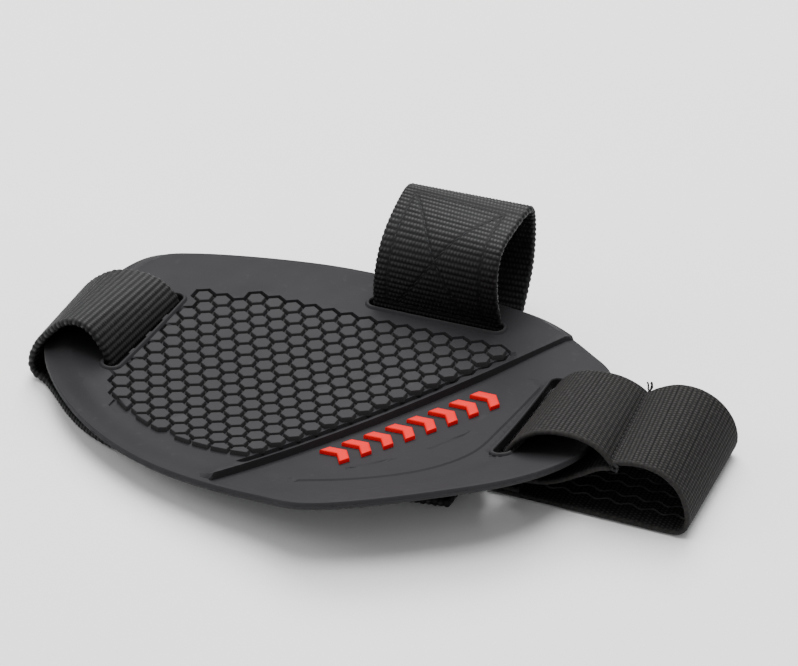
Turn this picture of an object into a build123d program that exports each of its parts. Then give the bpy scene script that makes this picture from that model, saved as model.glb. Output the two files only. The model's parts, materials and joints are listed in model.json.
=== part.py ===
"""Gear-shift pad for a riding boot: a dished rubber pad with a hexagon grip field, three strap
slots, a webbing keeper ring, a webbing sole strap and an elastic heel strap.

Millimetres, +Z up. The pad is drawn about the middle of its grip field, with the grip studs' tops
at height 0 there, and everything is moved at the end so that the whole part's box stands centred
on the origin, with the resting surface at Z = 0. X runs along the pad, Y across it.
"""
from build123d import *
import math
import os

os.makedirs("parts", exist_ok=True)

# ---- where the drawing frame sits in the part's own frame --------------------------------------
GROUND = -8.5                 # resting surface, below the middle of the grip field
SHIFT = (-21.725, -0.87, -GROUND)

# ---- the pad's dished shape --------------------------------------------------------------------
DISH_HALF_X, DISH_HALF_Y = 70.0, 50.0
BEND_LONG, BEND_CROSS = 4.5, 3.3          # rise of the ends and of the long rims
TWIST, RIGHT_NEAR_LIFT, RIGHT_LIFT, NEAR_LIFT = 1.9, 4.8, 2.5, 1.0

# ---- levels above the dished reference face ----------------------------------------------------
PAD_UNDER = -4.2              # underside of the moulding
PANEL_LEVEL = -1.8            # lower panel, and the rim all round
FIELD_FLOOR = -1.2            # floor between the studs
FLUSH_LEVEL = 0.0             # stud tops and the raised ground beside them
BEAD = 0.9                    # raised bead round each slot
OVERLAP = 0.3                 # how far raised details are rooted in the moulding

# ---- studs -------------------------------------------------------------------------------------
STUD_PITCH = 4.8
STUD_FLATS = 4.1
STUD_ANGLE = 30.0             # turn of the honeycomb's rows from the pad's axes
ARC_CENTRE, ARC_RADIUS = (2.4, 14.5), 52.6      # the near end of the field is rounded off

# ---- slots: centre, length, direction ----------------------------------------------------------
SLOT_WIDTH = 3.6
SLOT_SOLE = (-36.5, 0.3, 36.0, 90.0)
SLOT_KEEPER = (24.3, 33.7, 35.5, 0.0)
SLOT_HEEL = (60.5, 1.8, 39.0, 90.0)
BEAD_WIDTH = 1.3

# ---- straps ------------------------------------------------------------------------------------
WEBBING_WIDTH, WEBBING_THICK = 32.0, 1.5
ELASTIC_WIDTH, ELASTIC_THICK = 36.0, 1.2
THREAD = 0.3                  # how far a line of stitches stands out of the cloth
PATCH_THICK = 1.3


def dish(x, y):
    """Height of the dished reference face over the drawing plane."""
    a, b = x / DISH_HALF_X, y / DISH_HALF_Y
    return (BEND_LONG * a * a - TWIST * a * b + BEND_CROSS * b * b
            - RIGHT_NEAR_LIFT * a * a * b + RIGHT_LIFT * a * b * b - NEAR_LIFT * b ** 3)


def dish_face():
    """The dished reference face, a little larger than the pad."""
    rows = [[Vector(x, y, dish(x, y)) for x in range(-72, 97, 12)] for y in range(-66, 65, 10)]
    return Face.make_surface_from_array_of_points(rows, tol=0.005)


REFERENCE = dish_face()


def layer(outline, low, high):
    """The part of the moulding inside an outline, between two levels of the dished face."""
    slab = Solid.extrude(REFERENCE.moved(Location((0, 0, low))), Vector(0, 0, high - low))
    return extrude(outline, amount=60, both=True) & slab


def slot_outline(slot, grow=0.0):
    x, y, length, turn = slot
    return Location((x, y, 0), (0, 0, turn)) * SlotOverall(length + 2 * grow, SLOT_WIDTH + 2 * grow)


def block(low, high):
    """A plain box between two corners."""
    size = [h - l for l, h in zip(low, high)]
    centre = [(l + h) / 2 for l, h in zip(low, high)]
    return Location(centre) * Box(*size)


def plate(points, low, high):
    """A flat piece of cloth, of a given outline in plan."""
    return extrude(Location((0, 0, low)) * make_face(Polyline(*points, close=True)), amount=high - low)


def ribbon(points, bend, width, thick, across, close=False):
    """A strap that follows a centre line of runs and arcs, and keeps its width along an axis."""
    line = FilletPolyline(*points, radius=bend, close=close)
    section = Plane(origin=line @ 0, x_dir=across, z_dir=line % 0) * Rectangle(width, thick)
    return sweep(section, path=line)


def save(name, shape):
    """Move one finished piece into the part's own frame and write it."""
    export_step(Location(SHIFT) * shape, f"parts/{name}.step")


# ---- the rubber pad ----------------------------------------------------------------------------
PAD_OUTLINE = [(-57.8, 2), (-54.5, -15.5), (-37, -33.5), (-13, -46), (17.5, -53.2), (34.5, -55.1),
               (57, -42.4), (71, -29.5), (77.8, -11.8), (76.5, 8), (72, 25), (64.5, 33.8),
               (47.8, 43.6), (22, 46.8), (-9.7, 47), (-42, 39.6), (-55.6, 28.6)]
BAND_OUTER = ((6.9, -49.0), (56.5, 38.2))       # step down from the raised half to the lower panel
BAND_INNER = ((7.6, -44.5), (47.5, 25.0))       # step down from the studs' floor to the ledge
RIM_INSET = 6.5


def pad_outline(inset=0.0):
    """The pad's outline in plan, drawn in from the rim by an inset."""
    edge = Spline(*PAD_OUTLINE, periodic=True)
    steps = [index / len(PAD_OUTLINE) for index in range(len(PAD_OUTLINE))]
    inward = [edge @ t + (edge % t).rotate(Axis.Z, 90) * inset for t in steps]
    return make_face(Spline(*inward, periodic=True))


def raised_half():
    """Outline of the half that stands higher: inside the rim, on the far side of the band."""
    (x0, y0), (x1, y1) = BAND_OUTER
    far_side = make_face(Polyline((x0, y0), (x1, y1), (-90, y1), (-90, y0), close=True))
    return pad_outline(RIM_INSET) & far_side


def stud_field():
    """Outline of the sunk floor under the studs, open towards the near rim and the band."""
    (x0, y0), (x1, y1) = BAND_INNER
    return make_face(Polyline((-33.5, 18.5), (-29.5, 24.0), (-21.5, 24.0), (-21.5, 27.0),
                              (x1 - 2.0, y1 + 2.0), (x1, y1), (x0, y0), (-31.0, -32.0),
                              (-34.6, -22.0), close=True))


def flush_ground():
    """Outline of the ground beside the studs, level with their tops, to the left and far of them."""
    beside = make_face(Polyline((-60, 60), (70, 60), (70, 20), (46, 20), (-31, -23), (-60, -23),
                                close=True))
    return (raised_half() & beside) - stud_field()


def stud_centres():
    """Centres of the honeycomb inside the stud field."""
    field = stud_field()
    turn = math.radians(STUD_ANGLE)
    for column in range(-9, 13):
        for row in range(-14, 15):
            u = column * math.sqrt(3) / 2 * STUD_PITCH
            v = -(column / 2 + row) * STUD_PITCH
            x = u * math.cos(turn) - v * math.sin(turn)
            y = u * math.sin(turn) + v * math.cos(turn)
            clear = math.hypot(x - ARC_CENTRE[0], y - ARC_CENTRE[1]) < ARC_RADIUS
            if clear and field.is_inside(Vector(x, y, 0)):
                yield x, y


def pad_body():
    pad = layer(pad_outline(), PAD_UNDER, PANEL_LEVEL)
    pad = pad + layer(raised_half(), PANEL_LEVEL - OVERLAP, FIELD_FLOOR)
    pad = pad + layer(flush_ground(), FIELD_FLOOR - OVERLAP, FLUSH_LEVEL)
    for slot, level in ((SLOT_SOLE, FLUSH_LEVEL), (SLOT_KEEPER, FLUSH_LEVEL), (SLOT_HEEL, PANEL_LEVEL)):
        pad = pad + layer(slot_outline(slot, BEAD_WIDTH), level - 1.5, level + BEAD)
    for slot in (SLOT_SOLE, SLOT_KEEPER, SLOT_HEEL):
        pad = pad - extrude(slot_outline(slot), amount=60, both=True)
    return pad


def grip_studs():
    """The hexagonal studs, each with a flat top, rooted in the floor of their field."""
    hexagon = RegularPolygon(radius=STUD_FLATS / 2, side_count=6, major_radius=False)
    height = FLUSH_LEVEL - FIELD_FLOOR + OVERLAP
    studs = [extrude(Location((x, y, dish(x, y) - height)) * hexagon, amount=height).solid()
             for x, y in stud_centres()]
    return Compound(children=studs)


save("pad_body", pad_body())
save("grip_studs", grip_studs())

# ---- red accent marks: slanted chevrons on the lower panel ---------------------------------------
MARK_COUNT = 8
MARK_START, MARK_END = (25.6, -30.2), (47.0, 5.0)
MARK_HEIGHT = 1.0
MARK_HALF_ACROSS, MARK_ARM = 3.9, 2.6
MARK_POINT = 2.0


def accent_mark(index):
    """One chevron, its point leading along the row of marks."""
    t = index / (MARK_COUNT - 1)
    x = MARK_START[0] + t * (MARK_END[0] - MARK_START[0])
    y = MARK_START[1] + t * (MARK_END[1] - MARK_START[1])
    heading = math.degrees(math.atan2(MARK_END[1] - MARK_START[1], MARK_END[0] - MARK_START[0]))
    half, arm, point = MARK_HALF_ACROSS, MARK_ARM, MARK_POINT
    chevron = make_face(Polyline((0, -half), (arm, -half), (arm + point, 0), (arm, half), (0, half),
                                 (point, 0), close=True))
    outline = Location((x, y, 0), (0, 0, heading)) * chevron
    return layer(outline, PANEL_LEVEL - OVERLAP, PANEL_LEVEL + MARK_HEIGHT)


for mark in range(MARK_COUNT):
    save(f"accent_mark_{mark + 1}", accent_mark(mark))

# ---- keeper ring: a closed loop of webbing round the bar between its slot and the far rim --------
KEEPER_X = SLOT_KEEPER[0]
KEEPER_BEND = 2.6
KEEPER_PATH = [(33.8, -3.2), (33.8, 1.0), (31.4, 9.0), (31.4, 17.0), (35.5, 24.0), (53.0, 24.6),
               (56.3, 20.0), (56.3, 11.0), (53.0, 3.0), (48.2, -1.5), (48.2, -4.2), (45.0, -7.7),
               (37.0, -7.7)]


def keeper_profile():
    return [(KEEPER_X, y, z) for y, z in KEEPER_PATH]


def keeper_ring():
    return ribbon(keeper_profile(), KEEPER_BEND, WEBBING_WIDTH, WEBBING_THICK, (1, 0, 0), close=True)


def keeper_stitching():
    """A sewn box with a cross in it, through the overlapped webbing of the ring's front."""
    skin = ribbon(keeper_profile(), KEEPER_BEND, WEBBING_WIDTH, WEBBING_THICK + 2 * THREAD, (1, 0, 0),
                  close=True)
    low, high, half, line = 5.0, 22.0, 13.0, 0.7
    bars = [block((KEEPER_X - half, 20, z), (KEEPER_X + half, 38, z + line)) for z in (low, high)]
    bars += [block((x, 20, low), (x + line, 38, high)) for x in (KEEPER_X - half, KEEPER_X + half - line)]
    tilt = math.degrees(math.atan2(high - low, 2 * half))
    length = math.hypot(high - low, 2 * half) - 1
    bars += [Location((KEEPER_X, 29, (low + high) / 2), (0, turn, 0)) * Box(length, 18, line)
             for turn in (tilt, -tilt)]
    front = block((KEEPER_X - 20, 25, 3), (KEEPER_X + 20, 36, 24))
    pattern = bars[0].fuse(*bars[1:])
    return ((skin & front) & pattern) - keeper_ring() - keeper_core()


def keeper_core():
    """Everything inside the ring, so that only the outer face carries the stitches."""
    core = make_face(FilletPolyline(*keeper_profile(), radius=KEEPER_BEND, close=True))
    return extrude(core, amount=WEBBING_WIDTH, both=True)


save("keeper_ring", keeper_ring())
save("keeper_stitching", keeper_stitching())

# ---- sole strap: through its slot, over the left rim and away under the pad ----------------------
SOLE_LOW, SOLE_TOP = GROUND, GROUND + WEBBING_THICK
SOLE_PATH = [(-52.5, -6.1), (-38.6, -6.1), (-36.6, -3.0), (-36.9, 3.6), (-39.8, 7.6), (-44.0, 9.4),
             (-49.5, 8.8), (-55.4, 5.2), (-60.2, 0.6), (-60.4, -4.5), (-57.2, -7.75), (-52.0, -7.75)]
SOLE_HINGE_X = -34.5
SOLE_FAN = [(-54.0, -16.0), (-46.6, -23.0), (SOLE_HINGE_X - 0.2, -31.4), (SOLE_HINGE_X - 0.2, 8.0),
            (-48.0, 16.0), (-54.0, 16.0)]
TAIL_LOW = GROUND + PATCH_THICK
TAIL_TOP = TAIL_LOW + WEBBING_THICK
TIP_HINGE_X = 20.0
TAIL_OUTLINE = [(SOLE_HINGE_X + 0.2, -31.6), (-28.0, -34.6), (-12.0, -36.4), (TIP_HINGE_X - 0.2, -32.0),
                (TIP_HINGE_X - 0.2, 0.2), (-8.0, -4.2), (-17.0, -3.4), (SOLE_HINGE_X + 0.2, 7.8)]
TIP_OUTLINE = [(TIP_HINGE_X + 0.2, -32.0), (52.6, -26.6), (54.2, 2.5), (51.0, 5.0), (TIP_HINGE_X + 0.2, 0.2)]
LOOP_PATCH = [(-12.0, -33.0), (TIP_HINGE_X - 2.0, -28.6), (TIP_HINGE_X - 2.0, -3.4), (-10.0, -7.4)]
HOOK_PATCH = [(TIP_HINGE_X + 3.0, -28.0), (49.5, -23.2), (50.5, 1.0), (TIP_HINGE_X + 3.0, -3.0)]


def sole_ring():
    """The strap's turn round the bar, and the start of the run that leaves it towards the near rim."""
    turn = ribbon([(x, 0, z) for x, z in SOLE_PATH], 1.6, WEBBING_WIDTH, WEBBING_THICK, (0, 1, 0))
    return turn + plate(SOLE_FAN, SOLE_LOW, SOLE_TOP)


def sewn_box(x0, x1, y0, y1, low, line=0.7):
    """A sewn box with a cross in it, lying flat."""
    frame = block((x0, y0, low), (x1, y1, low + THREAD)) - block((x0 + line, y0 + line, low - 1),
                                                                 (x1 - line, y1 - line, low + 1))
    tilt = math.degrees(math.atan2(y1 - y0, x1 - x0))
    length = math.hypot(x1 - x0, y1 - y0) - 2 * line
    middle = ((x0 + x1) / 2, (y0 + y1) / 2, low + THREAD / 2)
    for turn in (tilt, -tilt):
        frame += Location(middle, (0, 0, turn)) * Box(length, line, THREAD)
    return frame


def edge_stitching(points, low, line=0.6, inset=1.0):
    """One row of stitches just inside a patch's edge."""
    face = make_face(Polyline(*points, close=True))
    row = offset(face, amount=-inset) - offset(face, amount=-inset - line)
    return extrude(Location((0, 0, low)) * row, amount=THREAD)


save("sole_strap_ring", sole_ring())
save("sole_ring_stitching", sewn_box(-51.5, -40.5, -12.0, 12.0, -6.1 + WEBBING_THICK / 2))
save("sole_strap_tail", plate(TAIL_OUTLINE, TAIL_LOW, TAIL_TOP))
save("sole_loop_patch", plate(LOOP_PATCH, GROUND, TAIL_LOW))
save("sole_loop_stitching", edge_stitching(LOOP_PATCH, TAIL_TOP))
save("sole_strap_tip", plate(TIP_OUTLINE, TAIL_LOW, TAIL_TOP))
save("sole_hook_patch", plate(HOOK_PATCH, GROUND, TAIL_LOW))
save("sole_hook_stitching", edge_stitching(HOOK_PATCH, TAIL_TOP))

# ---- heel strap: elastic, looped round the right bar and sewn, then on as a loop -----------------
HEEL_MIDDLE_Y = 2.0
RING_TILT = -6.5                          # the sewn ring lies along the pad's slope
RING_PATH = [(84.2, 5.0), (80.0, 8.0), (75.5, 9.2), (69.5, 8.8), (64.2, 6.4), (60.9, 2.8),
             (60.9, -1.0), (63.6, -3.0), (70.0, -3.1), (76.0, -1.2), (81.0, 2.2), (84.0, 3.4)]
SEAM_LOW, SEAM_HIGH = (82.6, 6.5), (83.8, 7.1)      # X and Z of the seam that closes the ring
LOOP_PATH = [(85.0, 4.9), (88.0, 6.8), (92.5, 7.6), (98.0, 6.2), (102.3, 2.0), (104.0, -3.0),
             (103.6, -7.9), (57.5, -7.9)]
GRIP_LINES = 4
GRIP_WIDTH = 1.0
GRIP_HEIGHT = 0.3
HEM_X, HEM_LOW, HEM_LENGTH = 57.7, -7.3, 7.0
HEM_STITCH_X, HEM_STITCH = 62.2, 0.8


def elastic(points, bend, width=ELASTIC_WIDTH, thick=ELASTIC_THICK, y=HEEL_MIDDLE_Y):
    return ribbon([(x, y, z) for x, z in points], bend, width, thick, (0, 1, 0))


def along_slope(shape):
    """Lay a level-drawn piece along the pad's slope at the heel slot."""
    return (Location((0, HEEL_MIDDLE_Y, 4.0), (RING_TILT, 0, 0))
            * Location((0, -HEEL_MIDDLE_Y, -4.0)) * shape)


def heel_ring():
    return along_slope(elastic(RING_PATH, 1.8))


def heel_seam():
    """The row of stitches across the strap that closes the ring."""
    half = ELASTIC_WIDTH / 2 - 1
    (x0, z0), (x1, z1) = SEAM_LOW, SEAM_HIGH
    return along_slope(block((x0, HEEL_MIDDLE_Y - half, z0), (x1, HEEL_MIDDLE_Y + half, z1)))


def grip_line(index):
    """One raised line along the loop's inner face."""
    inner = [(84.9, 4.0), (88.2, 6.0), (92.5, 6.75), (97.5, 5.4), (101.6, 1.6), (103.2, -3.2),
             (102.8, -7.15), (66.0, -7.15)]
    pitch = ELASTIC_WIDTH / (GRIP_LINES + 1)
    y = HEEL_MIDDLE_Y - ELASTIC_WIDTH / 2 + (index + 1) * pitch
    return elastic(inner, 1.6, GRIP_WIDTH, GRIP_HEIGHT, y)


def heel_hem():
    """The strap's end, turned over once on itself."""
    half = ELASTIC_WIDTH / 2
    return block((HEM_X, HEEL_MIDDLE_Y - half, HEM_LOW),
                 (HEM_X + HEM_LENGTH, HEEL_MIDDLE_Y + half, HEM_LOW + ELASTIC_THICK))


def hem_stitching():
    half, low = ELASTIC_WIDTH / 2 - 1, HEM_LOW + ELASTIC_THICK
    return block((HEM_STITCH_X, HEEL_MIDDLE_Y - half, low),
                 (HEM_STITCH_X + HEM_STITCH, HEEL_MIDDLE_Y + half, low + THREAD))


save("heel_strap_ring", heel_ring())
save("heel_seam_stitching", heel_seam())
save("heel_strap_loop", elastic(LOOP_PATH, 2.0))
for grip in range(GRIP_LINES):
    save(f"heel_grip_line_{grip + 1}", grip_line(grip))
save("heel_end_hem", heel_hem())
save("heel_hem_stitching", hem_stitching())
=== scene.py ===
"""Looks of the gear-shift boot pad: moulded rubber, woven webbing, knitted elastic and stitches.

Shapes are drawn in millimetres in the pad's drawing frame, as in the CAD source: X along the pad,
Y across it, Z up, about the middle of the grip field. placed() puts them in the shared frame.
"""
import json
import math
import random

import bmesh
import bpy
import numpy as np
from mathutils import Matrix, Vector, noise
from mathutils.geometry import delaunay_2d_cdt


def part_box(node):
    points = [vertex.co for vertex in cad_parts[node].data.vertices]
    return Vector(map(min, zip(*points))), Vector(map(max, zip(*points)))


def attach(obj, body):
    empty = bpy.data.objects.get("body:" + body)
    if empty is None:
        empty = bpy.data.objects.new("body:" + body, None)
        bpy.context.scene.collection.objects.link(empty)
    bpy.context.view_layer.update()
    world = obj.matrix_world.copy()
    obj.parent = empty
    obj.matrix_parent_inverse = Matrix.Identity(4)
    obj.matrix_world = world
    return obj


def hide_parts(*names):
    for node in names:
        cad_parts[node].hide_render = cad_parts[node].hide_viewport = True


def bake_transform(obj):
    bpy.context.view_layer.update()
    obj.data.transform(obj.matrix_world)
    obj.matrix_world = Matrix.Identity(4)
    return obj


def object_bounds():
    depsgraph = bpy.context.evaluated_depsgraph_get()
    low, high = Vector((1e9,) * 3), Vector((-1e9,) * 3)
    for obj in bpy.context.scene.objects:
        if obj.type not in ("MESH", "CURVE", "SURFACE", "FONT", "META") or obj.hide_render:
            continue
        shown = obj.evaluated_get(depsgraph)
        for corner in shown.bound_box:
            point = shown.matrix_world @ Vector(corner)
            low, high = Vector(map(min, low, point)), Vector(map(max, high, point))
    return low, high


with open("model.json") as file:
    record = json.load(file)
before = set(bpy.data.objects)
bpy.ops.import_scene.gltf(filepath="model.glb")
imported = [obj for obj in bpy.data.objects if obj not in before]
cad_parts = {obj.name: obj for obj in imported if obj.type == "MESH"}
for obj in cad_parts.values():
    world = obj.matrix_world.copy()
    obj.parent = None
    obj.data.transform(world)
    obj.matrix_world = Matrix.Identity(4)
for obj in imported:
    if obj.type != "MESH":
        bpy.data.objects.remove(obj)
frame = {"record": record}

cad_low, cad_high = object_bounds()

MM = 0.001
KEEPER_X = 24.3               # middle of the keeper ring, along the pad
HEEL_Y = 2.0                  # middle of the heel strap, across the pad
GROUND = -8.5                 # resting surface, below the middle of the grip field


def middle(node, axis):
    low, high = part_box(node)
    return (low[axis] + high[axis]) / 2


ORIGIN = np.array([middle("keeper_ring", 0) - KEEPER_X * MM,
                   middle("heel_strap_loop", 1) - HEEL_Y * MM,
                   cad_low.z - GROUND * MM])
JOINT = {joint["name"]: np.array(joint["pos_m"]) for joint in frame["record"]["behaviour"]["joints"]}


def placed(points):
    """Drawing millimetres to metres in the shared frame."""
    return np.asarray(points, float) * MM + ORIGIN


# ---- small mathematics
def ramp(value, low, high):
    """0 below low, 1 above high, straight between."""
    return np.clip((np.asarray(value, float) - low) / (high - low), 0.0, 1.0)


def smoothstep(value, low, high):
    """0 below low, 1 above high, with soft ends."""
    t = ramp(value, low, high)
    return t * t * (3 - 2 * t)


def mix(a, b, t):
    return a + (b - a) * t


def unit(vector):
    return vector / np.linalg.norm(vector)


def cos_sin(degrees):
    return math.cos(math.radians(degrees)), math.sin(math.radians(degrees))


def spline(points, per_span=24, close=False):
    """Points along a Catmull-Rom curve through the given ones."""
    p = np.asarray(points, float)
    if close:
        p = np.vstack([p[-1], p, p[0], p[1]])
    else:
        p = np.vstack([2 * p[0] - p[1], p, 2 * p[-1] - p[-2]])
    t = (np.arange(per_span) / per_span)[:, None]
    spans = []
    for a, b, c, d in zip(p[:-3], p[1:-2], p[2:-1], p[3:]):
        spans.append(0.5 * (2 * b + (c - a) * t + (2 * a - 5 * b + 4 * c - d) * t ** 2
                            + (3 * b - a - 3 * c + d) * t ** 3))
    line = np.vstack(spans)
    return line if close else np.vstack([line, p[-2]])


def closed(line):
    return np.vstack([line, line[:1]])


def lengths(line):
    """Length along a polyline at each of its points."""
    steps = np.linalg.norm(np.diff(line, axis=0), axis=1)
    return np.concatenate([[0.0], np.cumsum(steps)])


def resample(along, wanted, points):
    """Points known at some lengths along a line, read at other lengths."""
    return np.stack([np.interp(wanted, along, column) for column in points.T], axis=1)


def segment_distance(points, line):
    """Distance from each point to a plane polyline."""
    best = np.full(len(points), 1e9)
    for a, b in zip(line[:-1], line[1:]):
        span = b - a
        t = np.clip(((points - a) @ span) / max(span @ span, 1e-12), 0, 1)
        best = np.minimum(best, np.hypot(*(points - a - t[:, None] * span).T))
    return best


def inside(points, polygon):
    """True for each point inside a plane polygon."""
    x, y = points.T
    result = np.zeros(len(points), bool)
    for (x0, y0), (x1, y1) in zip(polygon, np.roll(polygon, -1, axis=0)):
        crosses = (y0 > y) != (y1 > y)
        if abs(y1 - y0) > 1e-12:
            result ^= crosses & (x < (x1 - x0) * (y - y0) / (y1 - y0) + x0)
    return result


# ---- pieces
def new_object(name, data):
    obj = bpy.data.objects.new(name, data)
    bpy.context.scene.collection.objects.link(obj)
    return obj


def piece(name, points, faces, material, sharp=None, crest=None, weave=None):
    """A mesh object from drawing points.

    sharp is the angle above which an edge stays crisp. crest, for each point, is 1 on the high parts
    of a weave and 0 in its valleys. weave gives each point's place across and along a strap.
    """
    mesh = bpy.data.meshes.new(name)
    mesh.from_pydata([tuple(p) for p in placed(points)], [], [tuple(int(i) for i in f) for f in faces])
    mesh.polygons.foreach_set("use_smooth", [True] * len(mesh.polygons))
    if sharp is not None:
        mesh.set_sharp_from_angle(angle=math.radians(sharp))
    if crest is not None:
        layer = mesh.attributes.new("crest", "FLOAT", "POINT")
        layer.data.foreach_set("value", np.asarray(crest, np.float32))
    if weave is not None:
        layer = mesh.uv_layers.new(name="weave")
        corner = np.zeros(len(mesh.loops), np.int32)
        mesh.loops.foreach_get("vertex_index", corner)
        layer.data.foreach_set("uv", np.asarray(weave, np.float32)[corner].ravel())
    mesh.materials.append(material)
    mesh.validate()
    return new_object(name, mesh)


def joined(parts):
    """One list of points and faces from several."""
    points, faces, count = [], [], 0
    for some_points, some_faces in parts:
        points.append(np.asarray(some_points, float))
        faces += [[i + count for i in face] for face in some_faces]
        count += len(some_points)
    return np.vstack(points), faces


# ---- materials
class Shader:
    """A Principled material and short ways to add nodes to it."""

    def __init__(self, name, color, roughness, **sockets):
        self.material = bpy.data.materials.new(name)
        self.material.use_nodes = True
        self.nodes = self.material.node_tree.nodes
        self.link = self.material.node_tree.links.new
        self.bsdf = self.nodes["Principled BSDF"]
        self.bsdf.inputs["Base Color"].default_value = (*color, 1)
        self.bsdf.inputs["Roughness"].default_value = roughness
        for socket, value in sockets.items():
            self.bsdf.inputs[socket.replace("_", " ")].default_value = value

    def add(self, kind, **values):
        node = self.nodes.new(kind)
        for key, value in values.items():
            if key in node.inputs:
                node.inputs[key].default_value = value
            else:
                setattr(node, key, value)
        return node

    def coordinates(self, stretch=(1, 1, 1), weave=False):
        """Place on the object, or along and across a strap."""
        if weave:
            source = self.add("ShaderNodeUVMap", uv_map="weave").outputs["UV"]
        else:
            source = self.add("ShaderNodeTexCoord").outputs["Object"]
        mapping = self.add("ShaderNodeMapping")
        mapping.inputs["Scale"].default_value = stretch
        self.link(source, mapping.inputs["Vector"])
        return mapping.outputs["Vector"]

    def noise(self, scale, detail=4.0, roughness=0.55, stretch=(1, 1, 1), weave=False):
        node = self.add("ShaderNodeTexNoise", Scale=scale, Detail=detail, Roughness=roughness)
        self.link(self.coordinates(stretch, weave), node.inputs["Vector"])
        return node.outputs["Fac"]

    def ramp(self, source, *stops):
        node = self.add("ShaderNodeValToRGB")
        elements = node.color_ramp.elements
        while len(elements) < len(stops):
            elements.new(0.5)
        for element, (position, value) in zip(elements, stops):
            element.position = position
            element.color = (*value, 1) if isinstance(value, tuple) else (value, value, value, 1)
        self.link(source, node.inputs["Fac"])
        return node.outputs["Color"]

    def blend(self, kind, a, b, factor):
        node = self.add("ShaderNodeMix", data_type="RGBA", blend_type=kind)
        node.inputs["Factor"].default_value = factor if isinstance(factor, float) else 0.5
        if not isinstance(factor, float):
            self.link(factor, node.inputs["Factor"])
        self.link(a, node.inputs["A"])
        self.link(b, node.inputs["B"])
        return node.outputs["Result"]

    def color(self, source):
        self.link(source, self.bsdf.inputs["Base Color"])

    def roughness(self, source):
        self.link(source, self.bsdf.inputs["Roughness"])

    def bumps(self, *layers):
        """Bumps from (height, strength, depth in metres), each on top of the last."""
        last = None
        for height, strength, depth in layers:
            node = self.add("ShaderNodeBump", Strength=strength, Distance=depth)
            self.link(height, node.inputs["Height"])
            if last is not None:
                self.link(last.outputs["Normal"], node.inputs["Normal"])
            last = node
        self.link(last.outputs["Normal"], self.bsdf.inputs["Normal"])


def grey(value, warm=0.0):
    return (value * (1 + warm), value, value * (1 - warm))


def rubber_material():
    s = Shader("black_rubber", grey(0.03), 0.6, Specular_IOR_Level=0.07)
    cloudy = s.noise(28.0, 5.0)
    dusty = s.noise(420.0, 3.0)
    base = s.ramp(cloudy, (0.3, (0.0185, 0.0182, 0.0200)), (0.7, (0.0235, 0.0230, 0.0250)))
    dust = s.ramp(dusty, (0.62, 0.0), (0.80, 0.30))
    pale = s.add("ShaderNodeRGB")
    pale.outputs[0].default_value = (0.044, 0.043, 0.045, 1)
    # painted highlight: the pale grey is laid on convex edges, found by pointiness (the pale specks from
    # dusty are dust)
    painted_edge_highlight = s.ramp(s.add("ShaderNodeNewGeometry").outputs["Pointiness"], (0.52, 0.0), (0.60, 0.55))
    s.color(s.blend("MIX", s.blend("MIX", base, pale.outputs[0], dust), pale.outputs[0], painted_edge_highlight))
    s.roughness(s.ramp(s.noise(60.0, 6.0), (0.3, 0.56), (0.75, 0.68)))
    s.bumps((s.noise(2600.0, 2.0), 0.25, 0.00006), (s.noise(160.0, 3.0), 0.12, 0.0002))
    return s.material


def red_material():
    s = Shader("red_rubber", (0.65, 0.003, 0.005), 0.5, Specular_IOR_Level=0.08)
    s.color(s.ramp(s.noise(90.0, 4.0), (0.3, (0.60, 0.0025, 0.004)), (0.7, (0.70, 0.004, 0.006))))
    s.roughness(s.ramp(s.noise(300.0, 3.0), (0.3, 0.42), (0.7, 0.56)))
    s.bumps((s.noise(1800.0, 2.0), 0.2, 0.00005))
    return s.material


def cloth_material(name, plain, gloss, valley, flank, crest, fleck, roughness, fibres):
    """Cloth with painted shade in its valleys and a painted highlight on its crests.

    plain is (colour, roughness) without the pattern, and valley and flank are (crest value, colour).
    fleck is (stretch, darkest, lightest), roughness is (in the valleys, on the crests), and fibres is
    (stretch, noise roughness, strength, depth).
    """
    s = Shader(name, *plain, Specular_IOR_Level=gloss)
    height = s.add("ShaderNodeAttribute", attribute_name="crest").outputs["Fac"]
    # painted shade and highlight: colour runs from dark in the weave's valleys to pale on its crests
    depth = s.ramp(height, valley, flank, (1.0, crest))
    stretch, darkest, lightest = fleck
    specks = s.ramp(s.noise(1.0, 3.0, 0.6, stretch, True), (0.35, darkest), (0.75, lightest))
    s.color(s.blend("MULTIPLY", depth, specks, 1.0))
    s.roughness(s.ramp(height, (0.2, roughness[0]), (1.0, roughness[1])))
    stretch, rough, strength, lift = fibres
    s.bumps((s.noise(1.0, 3.0, rough, stretch, True), strength, lift))
    return s.material


def webbing_material():
    # the valley and flank colours are painted shade, the crest colour a painted highlight
    return cloth_material("nylon_webbing", (grey(0.02), 0.5), 0.25,
                          valley=(0.2, (0.0016, 0.0016, 0.0022)), flank=(0.62, (0.0060, 0.0060, 0.0070)),
                          crest=(0.028, 0.027, 0.028), fleck=((1500, 520, 1), 0.30, 1.5),
                          roughness=(0.75, 0.42), fibres=((4200, 900, 1), 0.6, 0.6, 0.00012))


def elastic_material():
    # the valley and flank colours are painted shade, the crest colour a painted highlight
    return cloth_material("knitted_elastic", (grey(0.04, 0.08), 0.75), 0.12,
                          valley=(0.10, (0.0030, 0.0030, 0.0032)), flank=(0.5, (0.016, 0.0152, 0.0148)),
                          crest=(0.042, 0.039, 0.0375), fleck=((1100, 1100, 1), 0.6, 1.3),
                          roughness=(0.85, 0.62), fibres=((3000, 3000, 1), 0.65, 0.5, 0.0001))


def thread_material():
    s = Shader("sewing_thread", grey(0.01), 0.6, Specular_IOR_Level=0.25)
    twist = s.add("ShaderNodeTexWave", Scale=1400.0, Distortion=2.0, bands_direction="DIAGONAL")
    s.link(s.coordinates(), twist.inputs["Vector"])
    s.color(s.ramp(twist.outputs["Fac"], (0.2, (0.003, 0.003, 0.004)), (0.8, (0.013, 0.013, 0.015))))
    s.bumps((twist.outputs["Fac"], 0.6, 0.00008))
    return s.material


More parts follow.
